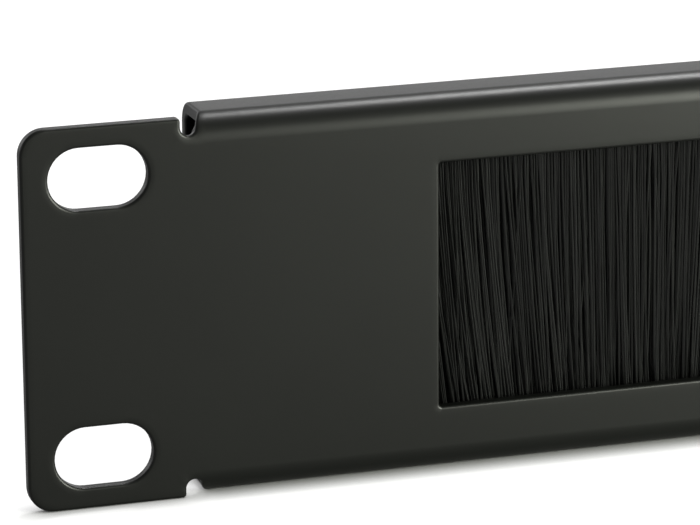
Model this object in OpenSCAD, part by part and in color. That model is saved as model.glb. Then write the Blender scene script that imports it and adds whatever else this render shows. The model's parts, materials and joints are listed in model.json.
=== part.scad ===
// Rack brush strip panel, one rack unit high.
// A folded steel panel with a long window, and a strip brush that hangs behind the window.
// Frame: origin at the centre of the four fixing slots, on the ears' back face (the seating face).
// +X to the right along the panel, +Y back into the rack, +Z up. Front face at Y = -sheet_t.

/* [Sheet] */
// Thickness of the folded steel sheet
sheet_t = 1.5; // [1:0.1:1.8]
// Overall width across both ears
panel_w = 482.6; // [470:0.1:520]
// Height, one rack unit less its running gap
panel_h = 43.6; // [42.5:0.1:50]
// Radius of the ears' outer corners
ear_corner_r = 3; // [0.5:0.1:5]

/* [Fixing slots] */
// Height between the two slots of an ear
slot_pitch_z = 31.75; // [28:0.05:32.5]
// Distance of a slot's centre from the panel's end
slot_inset = 8.8; // [7:0.05:9.5]
// Length of a slot from end to end
slot_l = 11.2; // [8:0.1:13]
// Width of a slot
slot_w = 6.9; // [5:0.1:8]

/* [Folds] */
// Width of an ear, up to the relief notch
ear_w = 18.2; // [16:0.1:22]
// Width of a relief notch between ear and fold
relief_w = 1.8; // [1:0.1:3]
// Depth of a relief notch from the panel's edge
relief_d = 1.95; // [1.6:0.05:3]
// How far the ends of a fold step back from the notch
fold_setback = 0.85; // [0.2:0.05:2]
// Outer radius of the bend between face and fold
bend_r = 3; // [2:0.1:3.5]
// Outer radius of the bend between fold and return lip
lip_bend_r = 2.5; // [2:0.1:2.6]
// How far a return lip reaches past the brush channel
lip_cover = 0.2; // [0:0.1:3]

/* [Window] */
// Bare face from the panel's end to the window
window_inset = 48.1; // [40:0.1:80]
// Height of the window
window_h = 28.4; // [18:0.1:30]
// Radius of the window's corners
window_r = 0.3; // [0.2:0.1:3]

/* [Strip brush] */
// Width of the brush channel
channel_w = 6.4; // [5.6:0.1:8]
// Height of the brush channel
channel_h = 5.8; // [5.6:0.1:8]
// Wall of the brush channel
channel_t = 0.6; // [0.4:0.05:0.8]
// Radius of the channel's closed upper corners
channel_r = 1.8; // [1.6:0.1:2]
// Height of the crimped mouth
crimp_h = 0.8; // [0.4:0.1:1.2]
// How far each wall is crimped inwards at the mouth
crimp_in = 0.3; // [0.1:0.05:0.6]
// Length of brush past each end of the window
brush_overlap_x = 9; // [2:0.5:15]
// Length of bristle below the window
brush_overlap_z = 3.8; // [1:0.1:5]
// Diameter of the core wire
wire_d = 1.8; // [1:0.1:2]
// Thickness of bristle folded over the wire
wrap_t = 0.4; // [0.3:0.05:0.6]
// Number of bristle bundles along the brush
bundles = 118; // [40:1:120]
// Width of a bundle's free end, as a share of its root
bundle_tip = 0.55; // [0.3:0.05:0.9]
// How far single bundles lean, as a share of the room between their free ends
bundle_lean = 0.4; // [0:0.05:0.5]
// How far the free ends sway along the brush together
bundle_sway = 3; // [0:0.1:3.5]

/* [Rivets] */
// Number of blind rivets
rivets = 5; // [2:1:9]
// Distance of the end rivets from the ends of the brush
rivet_inset = 12; // [6:0.5:40]
// Diameter of a rivet's shank
rivet_d = 2.4; // [2:0.1:2.6]
// Diameter of a rivet's head
rivet_head_d = 4.6; // [4:0.1:4.8]
// Height of a rivet's head
rivet_head_h = 0.6; // [0.4:0.05:1]
// Diameter of the set end inside the channel
rivet_bulb_d = 3.2; // [2.8:0.1:3.4]
// Thickness of the set end
rivet_bulb_t = 1.2; // [0.8:0.1:1.4]
// Diameter of the mandrel that stays in a rivet
mandrel_d = 1.4; // [1:0.1:1.6]

/* [Clearances] */
// Gap between the channel and the panel's inside
channel_gap = 0.1; // [0.05:0.05:0.5]
// Gap round the bristles where they pass other pieces
bristle_gap = 0.05; // [0.02:0.01:0.15]
// Radial clearance of a rivet in its holes
rivet_gap = 0.05; // [0.03:0.01:0.15]
// Radial clearance of a mandrel in its rivet
mandrel_gap = 0.03; // [0.02:0.01:0.06]

/* [Hidden] */
$fn = 48;
over = 1; // how far a cut runs past the surface that it opens
bite = 0.01; // how far the parts of an outline reach into each other

// Panel
half_w = panel_w / 2;
half_h = panel_h / 2;
fold_depth = 2 * sheet_t + channel_gap + channel_w; // outside, front face to back of the lips
back_y = fold_depth - sheet_t; // outer face of the return lips
lip_y = back_y - sheet_t; // inner face of the return lips, which carries the channel
fold_x = half_w - ear_w - relief_w; // where the folds start, beside the notches
lip_h = sheet_t + channel_gap + channel_h + lip_cover;
trim_x = fold_x - fold_setback; // where the straight part of a fold ends
trim_y = -0.6 * sheet_t; // where the trim of the folds' ends starts, within the sheet
slot_x = half_w - slot_inset;
window_w = panel_w - 2 * window_inset;

// Strip brush
brush_l = window_w + 2 * brush_overlap_x;
channel_y = lip_y - channel_w / 2; // middle of the channel, which rests against the lip
channel_top = half_h - sheet_t - channel_gap;
channel_bottom = channel_top - channel_h;
wire_z = channel_top - channel_t - wrap_t - wire_d / 2;
mouth_w = channel_w - 2 * (channel_t + crimp_in);
curtain_t = mouth_w - 2 * bristle_gap;
curtain_top = channel_bottom + crimp_h / 2;
curtain_bottom = -window_h / 2 - brush_overlap_z;
bundle_w = brush_l / bundles;
slit_top = channel_bottom - 1.5; // where the bundles of the outer rows part
slit_drop = 2; // how much lower single slits start
middle_slit = 6; // how far up the middle row is parted, from the free ends
tip_step = 0.5; // how much the free ends differ in length
sway_pitch = 90; // length of brush over which the sway comes round again
row_bite = 0.1; // how far one row of bundles reaches into the next

// Rivets
wall_top = channel_top - channel_r; // straight part of the channel's back wall
wall_bottom = channel_bottom + crimp_h;
rivet_z = (wall_top + wall_bottom) / 2;
grip_y = lip_y - channel_t; // inner face of the channel's back wall
bulb_y = grip_y - rivet_bulb_t; // blind end of a rivet
mandrel_head_r = (rivet_d + mandrel_d) / 4 + 0.05;
rivet_hole_r = rivet_d / 2 + rivet_gap;
SET_END = [[-0.4, 0], [0, 0.4], [0, 0.9], [-0.2, 1.2]]; // steps in radius and depth of a set end
HEAD_DOME = [[1, 0], [1, 0.25], [0.75, 0.75], [0.45, 1]]; // shares of a head's radius and height

RIVET_NAMES = [for (i = [1 : rivets]) str("rivet_", i)];
MANDREL_NAMES = [for (i = [1 : rivets]) str("rivet_mandrel_", i)];

// Middle of rivet i, counted from 1 at the left end
function rivet_x(i) = (brush_l / 2 - rivet_inset) * (2 * (i - 1) / (rivets - 1) - 1);

// Repeatable spread of values from -1 to 1
function spread(i, row) = sin(i * 137.5 + row * 71) * cos(i * 57.3 + row * 23);

// Sway of the free ends at x: none at the brush's ends, and different in each row
function sway(x, row) = bundle_sway * cos(180 * x / brush_l) * sin(360 * x / sway_pitch + row * 110);

// Extrudes a section drawn in Y and Z along X, centred
module along_x(length)
    rotate([90, 0, 90]) linear_extrude(height = length, center = true) children();

// Extrudes an outline drawn in X and Z from y0 to y1
module along_y(y0, y1)
    translate([0, y1, 0]) rotate([90, 0, 0]) linear_extrude(height = y1 - y0) children();

// Rectangle with round corners, centred on its height, from y0 to y1 with radii r0 and r1
module rounded_band(y0, y1, h, r0, r1) {
    translate([y0 + r0, -h / 2]) square([y1 - y0 - r0 - r1, h]);
    translate([y0, r0 - h / 2]) square([r0 + bite, h - 2 * r0]);
    translate([y1 - r1 - bite, r1 - h / 2]) square([r1 + bite, h - 2 * r1]);
    for (s = [-1, 1]) {
        translate([y0 + r0, s * (h / 2 - r0)]) circle(r0);
        translate([y1 - r1, s * (h / 2 - r1)]) circle(r1);
    }
}

// Section of the folded sheet: face, two bends, two folds and two return lips
module fold_section()
    difference() {
        rounded_band(-sheet_t, back_y, panel_h, bend_r, lip_bend_r);
        rounded_band(0, lip_y, panel_h - 2 * sheet_t, bend_r - sheet_t, lip_bend_r - sheet_t);
        translate([lip_y - over, lip_h - half_h]) square([sheet_t + 2 * over, panel_h - 2 * lip_h]);
    }

// Outline of the flat sheet: ears with their notches, and the flat zone between the bends
module face_outline() {
    difference() {
        rounded_band(-half_w, half_w, panel_h, ear_corner_r, ear_corner_r);
        square([2 * fold_x, panel_h + 2 * over], center = true);
        for (sx = [-1, 1], sz = [-1, 1])
            translate([sx * (fold_x + relief_w / 2), sz * (half_h - relief_d + relief_w / 2)]) {
                circle(relief_w / 2);
                translate([-relief_w / 2, sz > 0 ? 0 : -relief_d]) square([relief_w, relief_d]);
            }
    }
    square([2 * fold_x + 2 * over, panel_h - 2 * bend_r], center = true);
}

// Plan of what is cut from the right-hand end of the folds, as they come round the bend
module end_trim_plan()
    polygon([[fold_x, trim_y], [fold_x + over, trim_y], [fold_x + over, back_y + over],
        [trim_x, back_y + over], [trim_x, bend_r - sheet_t]]);

// Both ends of both folds, cut back above the bottoms of the notches and behind the bends
module end_trims()
    for (sx = [0, 1]) mirror([sx, 0, 0]) {
        for (sz = [0, 1]) mirror([0, 0, sz])
            translate([0, 0, half_h - relief_d]) linear_extrude(height = relief_d + over) end_trim_plan();
        translate([trim_x, bend_r - sheet_t, -half_h])
            cube([fold_setback + over, fold_depth, panel_h]);
    }

// A slot along X, centred
module slot_outline() {
    square([slot_l - slot_w, slot_w], center = true);
    for (s = [-1, 1]) translate([s * (slot_l - slot_w) / 2, 0]) circle(slot_w / 2);
}

module face_panel() {
    color("#2b2e2d")
    difference() {
        union() {
            along_y(-sheet_t, 0) face_outline();
            difference() {
                along_x(2 * fold_x) fold_section();
                end_trims();
            }
        }
        along_y(-sheet_t - over, over) {
            for (sx = [-1, 1], sz = [-1, 1])
                translate([sx * slot_x, sz * slot_pitch_z / 2]) slot_outline();
            rounded_band(-window_w / 2, window_w / 2, window_h, window_r, window_r);
        }
        rivet_holes(lip_y - over, back_y + over);
    }
}

// Round holes for all the rivets, from y0 to y1
module rivet_holes(y0, y1)
    for (i = [1 : rivets]) translate([rivet_x(i), y0, rivet_z])
        rotate([-90, 0, 0]) cylinder(h = y1 - y0, r = rivet_hole_r);

// Outline of the channel's section, taken in by inset, and run on below the mouth by below
module channel_outline(inset, below = 0) {
    w = channel_w / 2 - inset;
    r = channel_r - inset;
    top = channel_top - inset;
    slope = crimp_in / crimp_h;
    mouth = w - crimp_in - slope * below;
    translate([channel_y, 0]) {
        for (s = [-1, 1]) translate([s * (w - r), top - r]) circle(r);
        translate([r - w, wall_bottom]) square([2 * (w - r), top - wall_bottom]);
        polygon([[-w, top - r], [-w, wall_bottom], [-mouth, channel_bottom - below],
            [mouth, channel_bottom - below], [w, wall_bottom], [w, top - r]]);
    }
}

module brush_channel() {
    color("#8d9092")
    difference() {
        along_x(brush_l) difference() {
            channel_outline(0);
            channel_outline(channel_t, over);
        }
        rivet_holes(grip_y - over / 2, lip_y + over);
    }
}

module core_wire() {
    color("#a8aaab")
    translate([0, channel_y, wire_z]) rotate([0, 90, 0]) cylinder(h = brush_l, d = wire_d, center = true);
}

// Corners of bundle i: the slit beside its root, and the two corners of its free end
function bundle(i, row) =
    let (root_x = (i - bundles / 2) * bundle_w,
         room = (1 - bundle_tip) * bundle_w / 2,
         half = bundle_tip * bundle_w / 2,
         mid = root_x + bundle_w / 2,
         tip_x = mid + bundle_lean * room * spread(i, row) + sway(mid, row),
         tip_z = curtain_bottom + tip_step * (1 + spread(i, row + 5)) / 2,
         slit_z = row == 1 ? curtain_bottom + middle_slit : slit_top - slit_drop * abs(spread(i, row + 9)))
    [[root_x, slit_z], [tip_x - half, tip_z], [tip_x + half, tip_z]];

// Outline of one row of bundles: each leans and ends by itself, and a slit parts it from the next
module bundle_row(row)
    polygon(concat([[-brush_l / 2, curtain_top]], [for (i = [0 : bundles - 1]) each bundle(i, row)],
        [[brush_l / 2, curtain_top - crimp_h], [brush_l / 2, curtain_top]]));

module bristles() {
    third = curtain_t / 3;
    front = channel_y - curtain_t / 2;
    color("#0e0e0f")
    difference() {
        union() {
            along_x(brush_l) difference() {
                channel_outline(channel_t + bristle_gap);
                translate([channel_y, wire_z]) circle(wire_d / 2 + bristle_gap);
            }
            for (row = [0 : 2]) along_y(front + row * third - (row > 0 ? row_bite : 0), front + (row + 1) * third)
                bundle_row(row);
        }
        for (i = [1 : rivets]) translate([rivet_x(i), 0, rivet_z]) rivet_pocket();
    }
}

// Room in the bristles for the set end of a rivet and its mandrel's head
module rivet_pocket() {
    pocket_y = bulb_y - mandrel_head_r - 2 * bristle_gap;
    translate([0, pocket_y, 0]) rotate([-90, 0, 0])
        cylinder(h = grip_y - pocket_y + bristle_gap, r = rivet_bulb_d / 2 + bristle_gap);
}

// Turns a profile of radius and Y about a rivet's axis
module turned(i)
    translate([rivet_x(i), 0, rivet_z]) rotate([-90, 0, 0]) rotate_extrude() children();

module rivet(i) {
    bore = mandrel_d / 2 + mandrel_gap;
    bulb = rivet_bulb_d / 2;
    head = rivet_head_d / 2;
    color("#3a3c3c")
    turned(i) polygon(concat([[bore, bulb_y]],
        [for (p = SET_END) [bulb + p[0], bulb_y + p[1] * rivet_bulb_t / SET_END[3][1]]],
        [[rivet_d / 2, grip_y], [rivet_d / 2, back_y]],
        [for (p = HEAD_DOME) [head * p[0], back_y + rivet_head_h * p[1]]],
        [[bore, back_y + rivet_head_h]]));
}

module rivet_mandrel(i) {
    color("#77797a")
    turned(i) {
        translate([0, bulb_y]) square([mandrel_d / 2, back_y - bulb_y]);
        translate([0, bulb_y]) intersection() {
            circle(mandrel_head_r);
            translate([0, -2 * mandrel_head_r]) square(2 * mandrel_head_r);
        }
    }
}

face_panel();
brush_channel();
core_wire();
bristles();
for (i = [1 : rivets])
    rivet(i);
for (i = [1 : rivets])
    rivet_mandrel(i);
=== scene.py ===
"""Looks of a rack brush strip panel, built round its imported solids."""

import json
import logging
import math
import random
from dataclasses import dataclass, field
from enum import Enum

import bpy
from mathutils import Matrix, Vector
from mathutils.geometry import delaunay_2d_cdt

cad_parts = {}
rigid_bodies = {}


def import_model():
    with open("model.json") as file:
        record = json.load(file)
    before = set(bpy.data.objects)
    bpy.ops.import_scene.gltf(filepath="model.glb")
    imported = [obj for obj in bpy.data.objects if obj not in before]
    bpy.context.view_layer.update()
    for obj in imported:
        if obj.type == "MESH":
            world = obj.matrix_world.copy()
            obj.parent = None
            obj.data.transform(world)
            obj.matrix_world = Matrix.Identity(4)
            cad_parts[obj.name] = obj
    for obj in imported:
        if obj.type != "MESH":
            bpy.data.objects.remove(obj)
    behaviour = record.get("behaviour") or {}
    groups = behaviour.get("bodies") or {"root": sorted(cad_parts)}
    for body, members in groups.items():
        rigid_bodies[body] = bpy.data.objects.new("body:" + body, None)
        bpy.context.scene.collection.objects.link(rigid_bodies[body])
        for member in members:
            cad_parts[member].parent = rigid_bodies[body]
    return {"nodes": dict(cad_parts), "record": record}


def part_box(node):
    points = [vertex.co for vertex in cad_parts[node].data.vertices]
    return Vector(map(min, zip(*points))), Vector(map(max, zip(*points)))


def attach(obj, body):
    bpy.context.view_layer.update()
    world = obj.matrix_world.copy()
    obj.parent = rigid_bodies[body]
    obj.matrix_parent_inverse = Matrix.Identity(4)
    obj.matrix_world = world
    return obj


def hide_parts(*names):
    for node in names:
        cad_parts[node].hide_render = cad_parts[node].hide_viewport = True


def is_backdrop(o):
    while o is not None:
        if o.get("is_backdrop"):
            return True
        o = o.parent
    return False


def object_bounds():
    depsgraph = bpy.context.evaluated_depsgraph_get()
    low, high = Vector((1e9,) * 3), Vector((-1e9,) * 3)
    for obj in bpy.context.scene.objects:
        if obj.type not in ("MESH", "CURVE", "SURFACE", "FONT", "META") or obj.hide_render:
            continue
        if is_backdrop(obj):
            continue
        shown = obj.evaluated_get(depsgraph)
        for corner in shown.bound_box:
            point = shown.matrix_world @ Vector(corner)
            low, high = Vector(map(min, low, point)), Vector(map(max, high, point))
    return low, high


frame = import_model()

MM = 0.001
BODY = "root"
DOUBLES = 0.0005 * MM
FLAT_ANGLE = 0.4
MITRE_LIMIT = 0.4
NEAR_POINTS = 1e-6
MIX_FACTOR, MIX_FIRST, MIX_SECOND, MIX_RESULT = 0, 6, 7, 2
Colour = tuple[float, float, float]

logging.basicConfig(level=logging.INFO, format="%(message)s")
log = logging.getLogger("panel")


class Ray(Enum):
    """Kinds of ray that the floor or the surroundings answer in their own way."""

    CAMERA = "Is Camera Ray"
    GLOSSY = "Is Glossy Ray"


# ---------------------------------------------------------------- shader helpers


class Tree:
    """Adds and joins the nodes of one material, world or group."""

    def __init__(self, tree: bpy.types.NodeTree) -> None:
        """Takes the tree that the nodes go into."""
        self.tree = tree

    def add(self, kind: str, **values: object) -> bpy.types.Node:
        """Adds a node.

        Args:
            kind: the node's type.
            values: its properties, and its inputs by name with _ for a space.

        Returns:
            The new node.
        """
        node = self.tree.nodes.new(kind)
        for key, value in values.items():
            if hasattr(node, key):
                setattr(node, key, value)
            else:
                node.inputs[key.replace("_", " ")].default_value = value
        return node

    def join(self, source: bpy.types.NodeSocket, target: bpy.types.NodeSocket) -> None:
        """Links an output to an input."""
        self.tree.links.new(source, target)

    def maths(self, how: str, a: object, b: object = 0.0, clamp: bool = False) -> bpy.types.NodeSocket:
        """Adds a Math node.

        Args:
            how: its operation.
            a: first value or socket.
            b: second value or socket.
            clamp: whether the result is kept from 0 to 1.

        Returns:
            Its output.
        """
        node = self.tree.nodes.new("ShaderNodeMath")
        node.operation, node.use_clamp = how, clamp
        for socket, value in zip(node.inputs, (a, b)):
            if isinstance(value, bpy.types.NodeSocket):
                self.join(value, socket)
            else:
                socket.default_value = value
        return node.outputs[0]

    def spread(self, value: bpy.types.NodeSocket, low: float, high: float) -> bpy.types.NodeSocket:
        """Maps 0 to 1 onto a range.

        Args:
            value: socket from 0 to 1.
            low: what 0 becomes.
            high: what 1 becomes.

        Returns:
            The output.
        """
        node = self.add("ShaderNodeMapRange", To_Min=low, To_Max=high)
        self.join(value, node.inputs["Value"])
        return node.outputs["Result"]


def new_group(name: str, inputs: dict[str, float],
              outputs: dict[str, str]) -> tuple[Tree, bpy.types.Node, bpy.types.Node]:
    """Starts a shader node group.

    Args:
        name: name of the group.
        inputs: float inputs and what they start at.
        outputs: outputs and their socket types.

    Returns:
        Its tree, its input node and its output node.
    """
    tree = bpy.data.node_groups.new(name, "ShaderNodeTree")
    for key, value in inputs.items():
        socket = tree.interface.new_socket(name=key, in_out="INPUT", socket_type="NodeSocketFloat")
        socket.default_value = value
    for key, kind in outputs.items():
        tree.interface.new_socket(name=key, in_out="OUTPUT", socket_type=kind)
    t = Tree(tree)
    return t, t.add("NodeGroupInput"), t.add("NodeGroupOutput")


def grain_group() -> bpy.types.NodeTree:
    """Builds the fine grain of a coat or metal.

    Returns:
        A group that gives noise stretched along X, as a value from 0 to 1.
    """
    t, given, out = new_group("grain", {"Scale": 1000.0, "Stretch": 1.0, "Detail": 2.0},
                              {"Value": "NodeSocketFloat"})
    place = t.add("ShaderNodeTexCoord")
    parts = t.add("ShaderNodeSeparateXYZ")
    t.join(place.outputs["Object"], parts.inputs[0])
    joined = t.add("ShaderNodeCombineXYZ")
    t.join(t.maths("DIVIDE", parts.outputs["X"], given.outputs["Stretch"]), joined.inputs["X"])
    t.join(parts.outputs["Y"], joined.inputs["Y"])
    t.join(parts.outputs["Z"], joined.inputs["Z"])
    noise = t.add("ShaderNodeTexNoise", Roughness=0.55)
    t.join(joined.outputs[0], noise.inputs["Vector"])
    t.join(given.outputs["Scale"], noise.inputs["Scale"])
    t.join(given.outputs["Detail"], noise.inputs["Detail"])
    t.join(noise.outputs["Fac"], out.inputs["Value"])
    return t.tree


def specks_group() -> bpy.types.NodeTree:
    """Builds small scattered specks of dust.

    Returns:
        A group that gives them as a mask from 0 to 1.
    """
    t, given, out = new_group("specks", {"Scale": 300.0, "Size": 0.1, "Share": 0.1},
                              {"Mask": "NodeSocketFloat"})
    place = t.add("ShaderNodeTexCoord")
    cells = t.add("ShaderNodeTexVoronoi")
    t.join(place.outputs["Object"], cells.inputs["Vector"])
    t.join(given.outputs["Scale"], cells.inputs["Scale"])
    colour = t.add("ShaderNodeSeparateColor")
    t.join(cells.outputs["Color"], colour.inputs[0])
    chosen = t.maths("LESS_THAN", colour.outputs[0], given.outputs["Share"])
    size = t.maths("MULTIPLY", given.outputs["Size"], colour.outputs[1])
    near = t.maths("LESS_THAN", cells.outputs["Distance"], size)
    t.join(t.maths("MULTIPLY", near, chosen), out.inputs["Mask"])
    return t.tree


def drift_group() -> bpy.types.NodeTree:
    """Builds a slow change of tone over a surface.

    Returns:
        A group that gives it as a value round 0.5.
    """
    t, given, out = new_group("drift", {"Scale": 30.0, "Contrast": 1.0}, {"Value": "NodeSocketFloat"})
    place = t.add("ShaderNodeTexCoord")
    noise = t.add("ShaderNodeTexNoise", Detail=3.0, Roughness=0.6)
    t.join(place.outputs["Object"], noise.inputs["Vector"])
    t.join(given.outputs["Scale"], noise.inputs["Scale"])
    centred = t.maths("SUBTRACT", noise.outputs["Fac"], 0.5)
    scaled = t.maths("MULTIPLY", centred, given.outputs["Contrast"])
    t.join(t.maths("ADD", scaled, 0.5, clamp=True), out.inputs["Value"])
    return t.tree


@dataclass
class Effects:
    """The shader groups that the finishes share."""

    grain: bpy.types.NodeTree = field(default_factory=grain_group)
    specks: bpy.types.NodeTree = field(default_factory=specks_group)
    drift: bpy.types.NodeTree = field(default_factory=drift_group)

    def place(self, t: Tree, group: bpy.types.NodeTree, **values: float) -> bpy.types.NodeSocket:
        """Puts a group into a material.

        Args:
            t: the material's tree.
            group: the group.
            values: its inputs in this material, by name.

        Returns:
            Its first output.
        """
        node = t.add("ShaderNodeGroup", node_tree=group)
        for key, value in values.items():
            node.inputs[key].default_value = value
        return node.outputs[0]


def new_material(name: str, metallic: float = 0.0) -> tuple[bpy.types.Material, Tree, bpy.types.Node]:
    """Starts a material.

    Args:
        name: name of the material.
        metallic: 1 for bare metal.

    Returns:
        The material, its tree and its surface shader.
    """
    material = bpy.data.materials.new(name)
    material.use_nodes = True
    t = Tree(material.node_tree)
    shader = material.node_tree.nodes["Principled BSDF"]
    shader.inputs["Metallic"].default_value = metallic
    return material, t, shader


def mix_colours(t: Tree, fac: bpy.types.NodeSocket, a: object, b: object) -> bpy.types.NodeSocket:
    """Mixes two colours.

    Args:
        t: the material's tree.
        fac: share of the second colour.
        a: first colour or socket.
        b: second colour or socket.

    Returns:
        The mixed colour's output.
    """
    node = t.add("ShaderNodeMix", data_type="RGBA")
    t.join(fac, node.inputs[MIX_FACTOR])
    for socket, value in ((node.inputs[MIX_FIRST], a), (node.inputs[MIX_SECOND], b)):
        if isinstance(value, bpy.types.NodeSocket):
            t.join(value, socket)
        else:
            socket.default_value = (*value, 1.0)
    return node.outputs[MIX_RESULT]


def add_bump(t: Tree, shader: bpy.types.Node, height: bpy.types.NodeSocket, depth: float,
             under: bpy.types.Node | None = None) -> bpy.types.Node:
    """Gives a shader a relief.

    Args:
        t: the material's tree.
        shader: its surface shader.
        height: relief from 0 to 1.
        depth: height of the relief in metres.
        under: relief that this one lies on.

    Returns:
        The Bump node.
    """
    bump = t.add("ShaderNodeBump", Distance=depth)
    t.join(height, bump.inputs["Height"])
    if under is not None:
        t.join(under.outputs["Normal"], bump.inputs["Normal"])
    t.join(bump.outputs["Normal"], shader.inputs["Normal"])
    return bump


# ---------------------------------------------------------------- finishes


@dataclass(frozen=True)
class PowderCoat:
    """Satin black powder coat: slight orange peel, a few dust specks."""

    slot: str = "powder_coat"
    dark: Colour = (0.0028, 0.0031, 0.0026)
    light: Colour = (0.0042, 0.0047, 0.004)
    gloss: float = 0.25
    dust: Colour = (0.12, 0.12, 0.115)
    rough_low: float = 0.35
    rough_high: float = 0.41
    peel_depth: float = 0.0000045
    pebble_depth: float = 0.0000014

    def material(self, fx: Effects) -> bpy.types.Material:
        """Makes the material.

        Args:
            fx: the shared effects.

        Returns:
            The material.
        """
        material, t, shader = new_material(self.slot)
        shader.inputs["Specular IOR Level"].default_value = self.gloss
        tone = mix_colours(t, fx.place(t, fx.drift, Scale=35.0, Contrast=1.6), self.dark, self.light)
        specks = fx.place(t, fx.specks, Scale=260.0, Size=0.045, Share=0.06)
        t.join(mix_colours(t, specks, tone, self.dust), shader.inputs["Base Color"])
        grain = fx.place(t, fx.grain, Scale=2600.0, Detail=3.0)
        t.join(t.spread(grain, self.rough_low, self.rough_high), shader.inputs["Roughness"])
        peel = add_bump(t, shader, fx.place(t, fx.grain, Scale=900.0, Detail=1.0), self.peel_depth)
        add_bump(t, shader, grain, self.pebble_depth, under=peel)
        return material


@dataclass(frozen=True)
class BareMetal:
    """Plain metal with fine lines along X, dull spots and a slight change of tone."""

    slot: str
    dark: Colour
    light: Colour
    rough_low: float
    rough_high: float
    stretch: float
    line_depth: float = 0.000002

    def material(self, fx: Effects) -> bpy.types.Material:
        """Makes the material.

        Args:
            fx: the shared effects.

        Returns:
            The material.
        """
        material, t, shader = new_material(self.slot, metallic=1.0)
        tone = mix_colours(t, fx.place(t, fx.drift, Scale=90.0, Contrast=2.0), self.dark, self.light)
        spots = fx.place(t, fx.specks, Scale=500.0, Size=0.2, Share=0.12)
        t.join(mix_colours(t, spots, tone, self.dark), shader.inputs["Base Color"])
        lines = fx.place(t, fx.grain, Scale=3500.0, Stretch=self.stretch, Detail=3.0)
        t.join(t.spread(lines, self.rough_low, self.rough_high), shader.inputs["Roughness"])
        add_bump(t, shader, lines, self.line_depth)
        return material


@dataclass(frozen=True)
class Filament:
    """Glossy black nylon filament; each strand has its own tone."""

    slot: str = "filament"
    dark: Colour = (0.0035, 0.0036, 0.0036)
    light: Colour = (0.014, 0.0145, 0.0142)
    rough_low: float = 0.3
    rough_high: float = 0.5
    skin_depth: float = 0.000002

    def material(self, fx: Effects) -> bpy.types.Material:
        """Makes the material.

        Args:
            fx: the shared effects.

        Returns:
            The material.
        """
        material, t, shader = new_material(self.slot)
        tone = t.add("ShaderNodeAttribute", attribute_name="strand_tone")
        t.join(mix_colours(t, tone.outputs["Fac"], self.dark, self.light), shader.inputs["Base Color"])
        grain = fx.place(t, fx.grain, Scale=1500.0, Detail=2.0)
        t.join(t.spread(grain, self.rough_low, self.rough_high), shader.inputs["Roughness"])
        add_bump(t, shader, grain, self.skin_depth)
        return material


# ---------------------------------------------------------------- mesh helpers


def deselect() -> None:
    """Clears the selection, so that an operator acts on one piece only."""
    if bpy.context.mode != "OBJECT":
        bpy.ops.object.mode_set(mode="OBJECT")
    bpy.ops.object.select_all(action="DESELECT")


def make_active(piece: bpy.types.Object) -> None:
    """Selects one piece alone and makes it active.

    Args:
        piece: the piece.
    """
    deselect()
    piece.hide_set(False)
    piece.select_set(True)
    bpy.context.view_layer.objects.active = piece


def merged_copy(node: str, name: str) -> bpy.types.Object:
    """Copies the solid of a node into a new piece.

    Args:
        node: name of the node.
        name: name of the new piece.

    Returns:
        The piece, with its doubles merged and its flat faces joined.
    """
    source = bpy.data.objects[node]
    piece = bpy.data.objects.new(name, source.data.copy())
    bpy.context.scene.collection.objects.link(piece)
    make_active(piece)
    bpy.ops.object.mode_set(mode="EDIT")
    bpy.ops.mesh.select_all(action="SELECT")
    bpy.ops.mesh.customdata_custom_splitnormals_clear()
    bpy.ops.mesh.remove_doubles(threshold=DOUBLES)
    bpy.ops.mesh.dissolve_limited(angle_limit=math.radians(FLAT_ANGLE))
    bpy.ops.object.mode_set(mode="OBJECT")
    return piece


def finish_piece(piece: bpy.types.Object, material: bpy.types.Material) -> None:
    """Dresses a piece and lets it ride on the body.

    Args:
        piece: the piece.
        material: its finish.
    """
    piece.data.materials.clear()
    piece.data.materials.append(material)
    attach(piece, BODY)
    log.info("%s: %d faces", piece.name, len(piece.data.polygons))


# ---------------------------------------------------------------- sub-assemblies


Point = tuple[float, float]


def arc(centre: Point, radius: float, start: float, end: float, steps: int) -> list[Point]:
    """Points on an arc, both ends included, with angles in degrees from +X."""
    turns = [math.radians(start + (end - start) * k / steps) for k in range(steps + 1)]
    return [(centre[0] + radius * math.cos(a), centre[1] + radius * math.sin(a)) for a in turns]


def set_in(loop: list[Point], by: float) -> list[Point]:
    """Draws a closed loop in to its left, mitred at the corners.

    Args:
        loop: its points.
        by: how far each edge moves.

    Returns:
        The moved points.
    """
    moved = []
    for k, here in enumerate(loop):
        before, after = Vector(loop[k - 1]), Vector(loop[(k + 1) % len(loop)])
        arriving, leaving = (Vector(here) - before).normalized(), (after - Vector(here)).normalized()
        side = Vector((-(arriving.y + leaving.y), arriving.x + leaving.x)).normalized()
        reach = by / max(MITRE_LIMIT, side.dot(Vector((-leaving.y, leaving.x))))
        moved.append((here[0] + side.x * reach, here[1] + side.y * reach))
    return moved


def within(point: Point, loop: list[Point]) -> bool:
    """Tells whether a point lies inside a closed loop.

    Args:
        point: the point.
        loop: the loop's points.

    Returns:
        True where it lies inside.
    """
    inside = False
    for (x0, y0), (x1, y1) in zip(loop, loop[1:] + loop[:1]):
        if (y0 > point[1]) != (y1 > point[1]) and point[0] < x0 + (point[1] - y0) * (x1 - x0) / (y1 - y0):
            inside = not inside
    return inside


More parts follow.
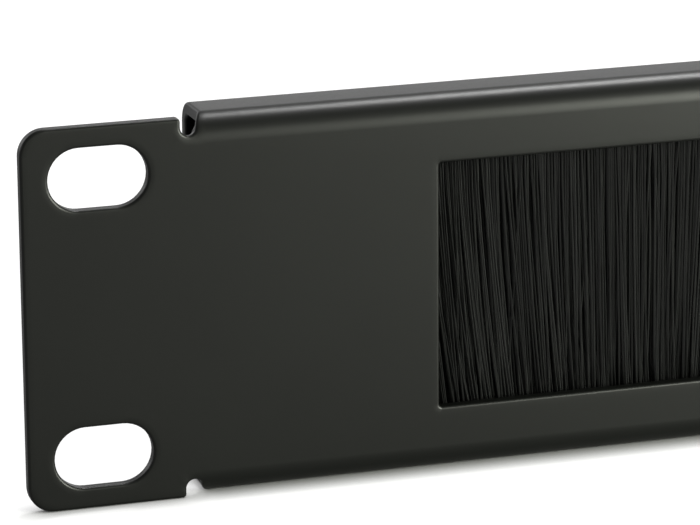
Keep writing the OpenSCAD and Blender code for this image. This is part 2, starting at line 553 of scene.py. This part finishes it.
@dataclass
class FacePanel:
    """The folded sheet: a flat blank, folded, given its thickness, and its coat drawn round over the edges.

    Sizes are in millimetres, angles in degrees, and the fade of a bend in notch widths. The blank lies in X
    and V, where V runs up the outer face from mid-height. The margin is the width of the ring of quads along
    every edge, and the patch is a field of points that carries the bend's fading out below a notch.
    """

    sheet: float = 1.5
    half_width: float = 241.3
    half_height: float = 21.8
    corner: float = 3.0
    ear: float = 18.2
    notch: float = 1.8
    notch_depth: float = 1.95
    setback: float = 0.85
    trim_y: float = -0.9
    bend: float = 3.0
    lip_bend: float = 2.5
    fold_flat: float = 4.0
    lip: float = 5.1
    window_inset: float = 48.1
    window_height: float = 28.4
    window_corner: float = 0.3
    slot_inset: float = 8.8
    slot_pitch: float = 31.75
    slot_length: float = 11.2
    slot_width: float = 6.9
    rivet_hole: float = 1.25
    margin: float = 1.0
    hollow: float = 0.09
    edge: float = 0.4
    edge_steps: int = 4
    bend_steps: int = 12
    notch_steps: int = 14
    corner_steps: int = 12
    window_steps: int = 6
    slot_steps: int = 20
    rivet_steps: int = 24
    crease: float = 50.0
    merge: float = 0.004
    fade_start: float = 0.95
    fade_length: float = 1.05
    foot_clear: float = 0.15
    lip_clear: float = 0.1
    patch_step: float = 0.35
    patch_half: int = 6
    patch_rows: tuple[float, ...] = (0.0, 0.3, 0.6)
    patch_drop: float = 0.75
    coat: PowderCoat = field(default_factory=PowderCoat)

    def __post_init__(self) -> None:
        """Works out where the bends lie on the blank."""
        self.v_bend = self.half_height - self.bend
        self.v_fold = self.v_bend + self.bend * math.pi / 2
        self.v_lip_bend = self.v_fold + self.fold_flat
        self.v_lip = self.v_lip_bend + self.lip_bend * math.pi / 2
        self.v_end = self.v_lip + self.lip
        self.fold_x = self.half_width - self.ear - self.notch
        self.foot = self.half_height - self.notch_depth + self.notch / 2

    def section(self, v: float) -> Point:
        """Follows the outer face over the bends.

        Args:
            v: height on the blank, above the middle.

        Returns:
            Its Y and Z there.
        """
        if v <= self.v_bend:
            return -self.sheet, v
        if v <= self.v_fold:
            turn = (v - self.v_bend) / self.bend
            y = self.bend - self.sheet - self.bend * math.cos(turn)
            return y, self.v_bend + self.bend * math.sin(turn)
        if v <= self.v_lip_bend:
            return self.bend - self.sheet + v - self.v_fold, self.half_height
        y = self.bend - self.sheet + self.fold_flat
        if v <= self.v_lip:
            turn = (v - self.v_lip_bend) / self.lip_bend
            z = self.half_height - self.lip_bend * (1 - math.cos(turn))
            return y + self.lip_bend * math.sin(turn), z
        return y + self.lip_bend, self.half_height - self.lip_bend - (v - self.v_lip)

    def folded(self, x: float, v: float) -> Vector:
        """Place of a point of the blank once the folds are made.

        Args:
            x: its place along the blank.
            v: its height on the blank.

        Returns:
            Its place in metres; beside a notch the bend fades out into the flat ear.
        """
        y, z = self.section(abs(v))
        reach = self.fold_x + self.notch * self.fade_start
        share = min(1.0, max(0.0, (reach - abs(x)) / (self.notch * self.fade_length)))
        share = share * share * (3 - 2 * share)
        y, z = -self.sheet + (y + self.sheet) * share, abs(v) + (z - abs(v)) * share
        return Vector((x, y, math.copysign(z, v))) * MM

    def fold_end(self, v: float) -> float:
        """Tells how far out the folds reach.

        Args:
            v: height on the blank.

        Returns:
            X of their end there.
        """
        y, _ = self.section(v)
        share = (y - self.trim_y) / (self.bend - self.sheet - self.trim_y)
        return self.fold_x - self.setback * min(1.0, max(0.0, share))

    def stations(self) -> list[float]:
        """Divides the bends.

        Returns:
            The heights on the blank of the divisions.
        """
        first = [self.v_bend + (self.v_fold - self.v_bend) * k / self.bend_steps
                 for k in range(self.bend_steps + 1)]
        second = [self.v_lip_bend + (self.v_lip - self.v_lip_bend) * k / self.bend_steps
                  for k in range(self.bend_steps + 1)]
        return first + second

    def outline(self) -> list[Point]:
        """Draws the outer edge of the blank.

        Returns:
            Its points, anticlockwise.
        """
        notch_r = self.notch / 2
        notch_x = self.half_width - self.ear - notch_r
        quarter = [(self.fold_end(self.v_end), self.v_end)]
        quarter += [(self.fold_end(v), v) for v in reversed(self.stations())
                    if v > self.foot + self.foot_clear]
        quarter += arc((notch_x, self.foot), notch_r, 180, 360, self.notch_steps)
        quarter += [(self.half_width - self.ear, self.half_height)]
        centre = (self.half_width - self.corner, self.half_height - self.corner)
        quarter += arc(centre, self.corner, 90, 0, self.corner_steps)
        right = [(x, -v) for x, v in quarter] + [(x, v) for x, v in reversed(quarter)]
        return right + [(-x, -v) for x, v in right]

    def beside_fold_end(self, ring_point: Point, edge_point: Point) -> Point:
        """Keeps the ring of quads level with the bends' divisions along the ends of the folds.

        Args:
            ring_point: a point on the ring's inner side.
            edge_point: its partner on the edge.

        Returns:
            The point's place, which is new beside the end of a fold.
        """
        x, v = edge_point
        low, high = self.foot + self.foot_clear, self.v_end - self.lip_clear
        if abs(x) > self.fold_x + self.merge or not low < abs(v) < high:
            return ring_point
        return math.copysign(self.fold_end(abs(v)) - self.margin, x), v

    def holes(self) -> list[list[Point]]:
        """Draws the edges of the window, the slots and the rivet holes.

        Returns:
            Their points, clockwise.
        """
        c, w, h = self.window_corner, self.half_width - self.window_inset, self.window_height / 2
        loops = [[p for sx, sz, a in ((1, 1, 0), (-1, 1, 90), (-1, -1, 180), (1, -1, 270))
                  for p in arc((sx * (w - c), sz * (h - c)), c, a, a + 90, self.window_steps)]]
        r, run = self.slot_width / 2, (self.slot_length - self.slot_width) / 2
        for sx in (-1, 1):
            for sz in (-1, 1):
                x, z = sx * (self.half_width - self.slot_inset), sz * self.slot_pitch / 2
                loops.append(arc((x + run, z), r, -90, 90, self.slot_steps)
                             + arc((x - run, z), r, 90, 270, self.slot_steps))
        last = 360 - 360 // self.rivet_steps
        for node in [n for n in frame["nodes"] if n.startswith("rivet_") and "mandrel" not in n]:
            low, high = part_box(node)
            middle = (low + high) / 2 / MM
            v = self.v_lip + self.half_height - self.lip_bend - middle.z
            loops.append(arc((middle.x, v), self.rivet_hole, 0, last, self.rivet_steps - 1))
        return [loop[::-1] for loop in loops]

    def inner_side(self, x: float, v: float) -> Vector:
        """Finds the sheet's inner side behind a point of the blank.

        Args:
            x: its place along the blank.
            v: its height on the blank.

        Returns:
            The place behind it in metres.
        """
        step = 0.01
        across = self.folded(x + step, v) - self.folded(x - step, v)
        upwards = self.folded(x, v + step) - self.folded(x, v - step)
        return self.folded(x, v) + upwards.cross(across).normalized() * self.sheet * MM

    def patch(self) -> list[Point]:
        """Lays out the points below each notch, where the bend fades out into the face.

        Returns:
            The points.
        """
        middle = self.fold_x + self.notch / 2
        return [(sx * (middle + k * self.patch_step), sv * (self.v_bend - self.patch_drop + v))
                for k in range(-self.patch_half, self.patch_half + 1) for v in self.patch_rows
                for sx in (-1, 1) for sv in (-1, 1)]

    def blank(self) -> tuple[list[Point], list[tuple[int, ...]], list[tuple[int, int]]]:
        """Lays out the flat blank: a ring of quads along every edge, and triangles between the rings.

        Returns:
            Its points, its faces, and where each edge starts among the points and how many it has.
        """
        points: list[Point] = []
        faces: list[tuple[int, ...]] = []
        rings: list[list[Point]] = []
        rims: list[tuple[int, int]] = []
        for number, loop in enumerate([self.outline(), *self.holes()]):
            ring = set_in(loop, self.margin)
            if number == 0:
                ring = [self.beside_fold_end(p, q) for p, q in zip(ring, loop)]
            first, n = len(points), len(loop)
            points += loop + ring
            rims.append((first, n))
            for k in range(n):
                after = first + (k + 1) % n
                faces.append((first + k, after, after + n, first + n + k))
            rings.append(ring)
        inner: list[Vector] = []
        edges: list[tuple[int, int]] = []
        for ring in rings:
            first, n = len(inner), len(ring)
            inner += [Vector(p) for p in ring]
            edges += [(first + k, first + (k + 1) % n) for k in range(n)]
        for v in self.stations():
            reach = self.fold_end(v) - self.margin
            for sign in (-1, 1):
                inner += [Vector((-reach, sign * v)), Vector((reach, sign * v))]
                edges.append((len(inner) - 2, len(inner) - 1))
        inner += [Vector(spot) for spot in self.patch() if within(spot, rings[0])]
        out, _, found, *_ = delaunay_2d_cdt(inner, edges, [], 0, NEAR_POINTS)
        first = len(points)
        points += [(p.x, p.y) for p in out]
        for face in found:
            middle = (sum(out[k].x for k in face) / len(face), sum(out[k].y for k in face) / len(face))
            if within(middle, rings[0]) and not any(within(middle, ring) for ring in rings[1:]):
                one, two, three = (out[k] for k in face)
                order = face if (two - one).cross(three - one) > 0 else face[::-1]
                faces.append(tuple(first + k for k in order))
        return points, faces, rims

    def shell(self) -> bpy.types.Mesh:
        """Folds the blank and closes it.

        Returns:
            The mesh: outer side, inner side, and cut edges drawn slightly hollow.
        """
        points, faces, rims = self.blank()
        count = len(points)
        places = [self.folded(*p) for p in points] + [self.inner_side(*p) for p in points]
        skins = faces + [tuple(count + k for k in reversed(face)) for face in faces]
        for first, n in rims:
            middle = len(places)
            for k in range(first, first + n):
                inwards = (places[k + n] - places[k]).normalized()
                places.append((places[k] + places[count + k]) / 2 + inwards * self.hollow * MM)
            for k in range(n):
                a, b = first + k, first + (k + 1) % n
                c, d = middle + k, middle + (k + 1) % n
                skins += [(b, a, c, d), (d, c, count + a, count + b)]
        mesh = bpy.data.meshes.new("coated_panel")
        mesh.from_pydata(places, [], skins)
        return mesh

    def build(self, fx: Effects) -> bpy.types.Object:
        """Builds and dresses the panel.

        Args:
            fx: the shared effects.

        Returns:
            The finished piece.
        """
        piece = bpy.data.objects.new("coated_panel", self.shell())
        bpy.context.scene.collection.objects.link(piece)
        make_active(piece)
        bpy.ops.object.mode_set(mode="EDIT")
        bpy.ops.mesh.select_all(action="SELECT")
        bpy.ops.mesh.remove_doubles(threshold=self.merge * MM)
        bpy.ops.object.mode_set(mode="OBJECT")
        coat = piece.modifiers.new("coat", "BEVEL")
        coat.width, coat.segments = self.edge * MM, self.edge_steps
        coat.limit_method, coat.angle_limit = "ANGLE", math.radians(self.crease)
        coat.use_clamp_overlap, coat.loop_slide = False, False
        weigh = piece.modifiers.new("flats", "WEIGHTED_NORMAL")
        weigh.keep_sharp = True
        bpy.ops.object.modifier_apply(modifier=coat.name)
        bpy.ops.object.shade_smooth_by_angle(angle=math.radians(self.crease))
        bpy.ops.object.modifier_apply(modifier=weigh.name)
        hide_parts("face_panel")
        finish_piece(piece, self.coat.material(fx))
        return piece


@dataclass
class StrandRow:
    """One row of filaments along the brush."""

    name: str
    depth: float
    count: int
    radius: float
    seed: int


@dataclass
class Brush:
    """The strip brush's filaments, which hang from the channel as separate strands.

    Near the brush's ends the free ends drift inwards, along its length they sway, and they gather in clumps.
    A few are strays. Jitter is a share of the strands' pitch, and sizes are shares of a row's radius.
    """

    top: float = 15.4 * MM
    mouth: float = 14.4 * MM
    bottom: float = -17.9 * MM
    half_length: float = 202.0 * MM
    points: int = 9
    jitter: float = 0.45
    sizes: tuple[float, float] = (0.8, 1.15)
    smooth: float = 60.0
    clump_pitch: float = 2.3 * MM
    clump_pull: tuple[float, float] = (0.1, 0.75)
    end_drift: float = 5.0 * MM
    end_reach: float = 16 * MM
    long_sway: float = 0.9 * MM
    long_pitch: float = 19 * MM
    short_sway: float = 0.6 * MM
    short_pitch: float = 7.3 * MM
    short_phase: float = 1.0
    strays: float = 0.08
    stray_spread: float = 1.6 * MM
    spread: float = 0.38 * MM
    curl: float = 0.22 * MM
    row_spread: float = 0.16 * MM
    uneven: float = 0.8 * MM
    drop_power: float = 1.35
    root_lift: float = 0.5 * MM
    root_tone: float = 0.3
    filament: Filament = field(default_factory=Filament)
    rows: tuple[StrandRow, ...] = (
        StrandRow("bristles_front", depth=1.25 * MM, count=2100, radius=0.1 * MM, seed=11),
        StrandRow("bristles_second", depth=1.75 * MM, count=2100, radius=0.11 * MM, seed=12),
        StrandRow("bristles_third", depth=2.5 * MM, count=2100, radius=0.19 * MM, seed=23),
        StrandRow("bristles_fourth", depth=3.3 * MM, count=2100, radius=0.22 * MM, seed=14),
        StrandRow("bristles_fifth", depth=4.2 * MM, count=2100, radius=0.18 * MM, seed=16),
        StrandRow("bristles_back", depth=5.1 * MM, count=2100, radius=0.11 * MM, seed=15),
    )

    def lean(self, x: float) -> float:
        """Works out the sideways drift of the free ends.

        Args:
            x: where a strand is rooted.

        Returns:
            Its drift in metres.
        """
        from_end = self.half_length - abs(x)
        inwards = self.end_drift * math.exp(-from_end / self.end_reach)
        long_wave = self.long_sway * math.sin(x / self.long_pitch)
        short_wave = self.short_sway * math.sin(x / self.short_pitch + self.short_phase)
        return math.copysign(inwards, -x) + (long_wave + short_wave)

    def strand(self, x: float, row: StrandRow, rng: random.Random) -> list[Vector]:
        """Lays the path of one strand.

        Args:
            x: where it leaves the channel.
            row: its row.
            rng: source of spread.

        Returns:
            Points from its root to its free end.
        """
        clump = round(x / self.clump_pitch) * self.clump_pitch
        stray = rng.random() < self.strays
        pull = (clump - x) * rng.uniform(*self.clump_pull)
        aside = self.lean(x) + pull + rng.gauss(0, self.stray_spread if stray else self.spread)
        curl = rng.gauss(0, self.curl)
        y0 = row.depth + rng.uniform(-self.row_spread, self.row_spread)
        out = rng.gauss(0, self.curl)
        end = self.bottom + rng.uniform(0, self.uneven)
        path = [Vector((x, y0, self.top))]
        for k in range(self.points - 1):
            s = k / (self.points - 2)
            drop = s ** self.drop_power
            bow = math.sin(math.pi * s)
            path.append(Vector((x + aside * drop + curl * bow, y0 + out * drop,
                                self.mouth + (end - self.mouth) * s)))
        return path

    def build_row(self, row: StrandRow, material: bpy.types.Material) -> bpy.types.Object:
        """Builds one row as a piece.

        Args:
            row: the row.
            material: the filament's finish.

        Returns:
            The finished piece.
        """
        rng = random.Random(row.seed)
        curve = bpy.data.curves.new(row.name, "CURVE")
        curve.dimensions, curve.use_fill_caps = "3D", True
        curve.bevel_depth, curve.bevel_resolution = row.radius, 0
        pitch = 2 * self.half_length / row.count
        for i in range(row.count):
            x = -self.half_length + (i + 0.5 + rng.uniform(-self.jitter, self.jitter)) * pitch
            spline = curve.splines.new("POLY")
            spline.points.add(self.points - 1)
            size = rng.uniform(*self.sizes)
            for point, place in zip(spline.points, self.strand(x, row, rng)):
                point.co, point.radius = (*place, 1.0), size
        piece = bpy.data.objects.new(row.name, curve)
        bpy.context.scene.collection.objects.link(piece)
        make_active(piece)
        bpy.ops.object.convert(target="MESH")
        piece = bpy.context.view_layer.objects.active
        bpy.ops.object.shade_smooth_by_angle(angle=math.radians(self.smooth))
        self.tone_strands(piece.data, row, rng)
        finish_piece(piece, material)
        return piece

    def tone_strands(self, mesh: bpy.types.Mesh, row: StrandRow, rng: random.Random) -> None:
        """Gives every strand of a row its own tone, from 0 to 1, as an attribute.

        Args:
            mesh: the row's mesh, with as many points in every strand.
            row: the row.
            rng: source of spread.
        """
        tones = mesh.attributes.new("strand_tone", "FLOAT", "POINT")
        each = len(mesh.vertices) // row.count
        values: list[float] = []
        for _ in range(row.count):
            values += [rng.random()] * each
        tones.data.foreach_set("value", values)

    def build(self, fx: Effects) -> list[bpy.types.Object]:
        """Builds every row and the gripped roots.

        Args:
            fx: the shared effects.

        Returns:
            The finished pieces.
        """
        material = self.filament.material(fx)
        pieces = [self.build_row(row, material) for row in self.rows]
        roots = merged_copy("bristles", "bristle_roots")
        bpy.ops.object.mode_set(mode="EDIT")
        bpy.ops.mesh.select_all(action="SELECT")
        bpy.ops.mesh.bisect(plane_co=(0, 0, self.mouth + self.root_lift), plane_no=(0, 0, 1), use_fill=True,
                            clear_inner=True)
        bpy.ops.object.mode_set(mode="OBJECT")
        tones = roots.data.attributes.new("strand_tone", "FLOAT", "POINT")
        tones.data.foreach_set("value", [self.root_tone] * len(roots.data.vertices))
        finish_piece(roots, material)
        for piece in (*pieces, roots):
            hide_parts("bristles")
        return [*pieces, roots]


@dataclass
class Fixings:
    """The brush channel, core wire, rivets and mandrels: the solids as they are, in bare metal."""

    channel: BareMetal = BareMetal("zinc_steel", dark=(0.33, 0.34, 0.35), light=(0.47, 0.48, 0.49),
                                   rough_low=0.34, rough_high=0.5, stretch=12.0)
    wire: BareMetal = BareMetal("wire", dark=(0.38, 0.38, 0.38), light=(0.52, 0.52, 0.52),
                                rough_low=0.25, rough_high=0.4, stretch=20.0)
    rivet: BareMetal = BareMetal("rivet", dark=(0.5, 0.51, 0.52), light=(0.62, 0.63, 0.64),
                                 rough_low=0.32, rough_high=0.46, stretch=1.0)
    mandrel: BareMetal = BareMetal("mandrel", dark=(0.28, 0.28, 0.29), light=(0.4, 0.4, 0.41),
                                   rough_low=0.3, rough_high=0.45, stretch=1.0)

    def dress(self, fx: Effects) -> None:
        """Gives each solid its finish by its slot in the record.

        Args:
            fx: the shared effects.
        """
        finishes = {f.slot: f.material(fx) for f in (self.channel, self.wire, self.rivet, self.mandrel)}
        for part in frame["record"]["subparts"]:
            if part["material_slot"] in finishes:
                for slot in bpy.data.objects[part["node"]].material_slots:
                    slot.material = finishes[part["material_slot"]]
                log.info("%s: dressed as %s", part["node"], part["material_slot"])


# ---------------------------------------------------------------- studio


@dataclass(frozen=True)
class Softbox:
    """A rectangular lamp aimed at the panel: azimuth 0 is in front, 90 at the right end."""

    name: str
    azimuth: float
    elevation: float
    distance: float
    width: float
    height: float
    radiance: float
    colour: Colour = (1.0, 1.0, 1.0)

    def place(self, aim: Vector) -> None:
        """Puts the lamp up.

        Args:
            aim: the point that it faces.
        """
        a, e = math.radians(self.azimuth), math.radians(self.elevation)
        way = Vector((math.sin(a) * math.cos(e), -math.cos(a) * math.cos(e), math.sin(e)))
        lamp = bpy.data.lights.new(self.name, "AREA")
        lamp.shape, lamp.size, lamp.size_y = "RECTANGLE", self.width, self.height
        lamp.energy = self.radiance * math.pi * self.width * self.height
        lamp.color = self.colour
        holder = bpy.data.objects.new(self.name, lamp)
        holder.location = aim + way * self.distance
        holder.visible_camera = False
        holder.rotation_mode = "QUATERNION"
        holder.rotation_quaternion = way.to_track_quat("Z", "Y")
        bpy.context.scene.collection.objects.link(holder)
        log.info("lamp %s", self.name)


@dataclass
class Studio:
    """Floor, surroundings, lamps and camera.

    The floor is part tone, lit by the lamps, and part lift, a glow that only the camera sees in full and that
    fades out where the panel stands. The surroundings are white to the camera. To the panel they are a dim
    room with a bright sweep low behind it.
    """

    aim: Vector = field(default_factory=lambda: Vector((-203.837, -1.5, 3.734)) * MM)
    azimuth: float = 17.931
    elevation: float = 15.442
    roll: float = -0.42
    distance: float = 473.37 * MM
    lens: float = 218.43
    sensor: float = 36.0
    clip: float = 0.01
    floor_size: float = 14.0
    lit_x: float = -0.19
    floor_lift: float = 0.86
    contact_falloff: float = 1.6
    floor_tone: float = 0.25
    floor_gloss: float = 0.2
    floor_rough: float = 0.9
    floor_shine: float = 0.1
    contact: float = 3 * MM
    contact_rays: int = 8
    sweep: float = 1.45
    room: float = 0.28
    sweep_top: tuple[float, float] = (0.42, 0.22)
    sweep_front: tuple[float, float] = (-0.35, 0.25)
    lamps: tuple[Softbox, ...] = (
        Softbox("back_softbox", azimuth=137.0, elevation=57.0, distance=1.3, width=0.3, height=0.18,
                radiance=62.0),
        Softbox("front_softbox", azimuth=42.0, elevation=12.0, distance=0.45, width=0.17, height=0.24,
                radiance=38.0, colour=(0.97, 1.0, 0.88)),
    )

    def camera(self) -> None:
        """Puts the camera in front of the left end, looking down on it."""
        a, e, roll = (math.radians(v) for v in (self.azimuth, self.elevation, self.roll))
        ahead = Vector((math.sin(a) * math.cos(e), math.cos(a) * math.cos(e), -math.sin(e)))
        level = Vector((math.cos(a), -math.sin(a), 0))
        up = level.cross(ahead)
        right = level * math.cos(roll) + up * math.sin(roll)
        up = up * math.cos(roll) - level * math.sin(roll)
        data = bpy.data.cameras.new("camera")
        data.lens, data.sensor_width, data.clip_start = self.lens, self.sensor, self.clip
        camera = bpy.data.objects.new("camera", data)
        turn = Matrix((right, up, -ahead)).transposed().to_4x4()
        camera.matrix_world = Matrix.Translation(self.aim - ahead * self.distance) @ turn
        bpy.context.scene.collection.objects.link(camera)
        bpy.context.scene.camera = camera

    def floor(self) -> None:
        """Lays a white floor under the panel; it is white to the eye and keeps the panel's shadow, cast by
        the lamps, with painted shade round the panel's foot where its glow fades.
        """
        low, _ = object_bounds()
        deselect()
        bpy.ops.mesh.primitive_plane_add(size=self.floor_size, location=(0, 0, low.z))
        floor = bpy.context.view_layer.objects.active
        floor.name = "floor"
        material, t, shader = new_material("floor_white")
        shader.inputs["Roughness"].default_value = self.floor_rough
        shader.inputs["Specular IOR Level"].default_value = self.floor_shine
        shader.inputs["Base Color"].default_value = (self.floor_tone,) * 3 + (1.0,)
        light = t.add("ShaderNodeLightPath")
        clear = t.add("ShaderNodeAmbientOcclusion", samples=self.contact_rays, Distance=self.contact)
        mirrored = t.maths("MULTIPLY", light.outputs[Ray.GLOSSY.value], self.floor_gloss)
        seen = t.maths("MAXIMUM", light.outputs[Ray.CAMERA.value], mirrored)
        lift = t.maths("MULTIPLY", seen, self.floor_lift)
        # Painted shade: the glow is scaled by ambient occlusion, so the floor darkens round the panel's foot,
        # both in the camera's view and in the panel's reflections.
        lift = t.maths("MULTIPLY", lift, t.maths("POWER", clear.outputs["AO"], self.contact_falloff))
        shader.inputs["Emission Color"].default_value = (1.0, 1.0, 1.0, 1.0)
        t.join(lift, shader.inputs["Emission Strength"])
        floor.data.materials.append(material)
        floor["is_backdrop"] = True

    def surroundings(self) -> None:
        """Lights the panel from low behind and dimly all round, and shows white to the eye."""
        world = bpy.data.worlds.new("studio")
        bpy.context.scene.world = world
        world.use_nodes = True
        t = Tree(world.node_tree)
        back = world.node_tree.nodes["Background"]
        place = t.add("ShaderNodeTexCoord")
        parts = t.add("ShaderNodeSeparateXYZ")
        t.join(place.outputs["Generated"], parts.inputs[0])
        low = t.add("ShaderNodeMapRange", interpolation_type="SMOOTHSTEP",
                    From_Min=self.sweep_top[0], From_Max=self.sweep_top[1], To_Min=0.0, To_Max=1.0)
        t.join(parts.outputs["Z"], low.inputs["Value"])
        behind = t.add("ShaderNodeMapRange", interpolation_type="SMOOTHSTEP",
                       From_Min=self.sweep_front[0], From_Max=self.sweep_front[1], To_Min=0.0, To_Max=1.0)
        t.join(parts.outputs["Y"], behind.inputs["Value"])
        sweep = t.maths("MULTIPLY", low.outputs["Result"], behind.outputs["Result"])
        room = t.maths("ADD", t.maths("MULTIPLY", sweep, self.sweep - self.room), self.room)
        light = t.add("ShaderNodeLightPath")
        seen = light.outputs[Ray.CAMERA.value]
        unseen = t.maths("SUBTRACT", 1.0, seen)
        strength = t.maths("ADD", t.maths("MULTIPLY", room, unseen), seen)
        t.join(strength, back.inputs["Strength"])
        back.inputs["Color"].default_value = (1.0, 1.0, 1.0, 1.0)

    def build(self) -> None:
        """Sets up the whole studio."""
        bpy.context.scene.view_settings.view_transform = "Standard"
        self.camera()
        self.floor()
        self.surroundings()
        for lamp in self.lamps:
            lamp.place(Vector((self.lit_x, 0, 0)))


def main() -> None:
    """Builds the studio and every piece."""
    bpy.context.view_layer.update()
    Studio().build()
    fx = Effects()
    FacePanel().build(fx)
    Brush().build(fx)
    Fixings().dress(fx)


if __name__ == "__main__":
    main()
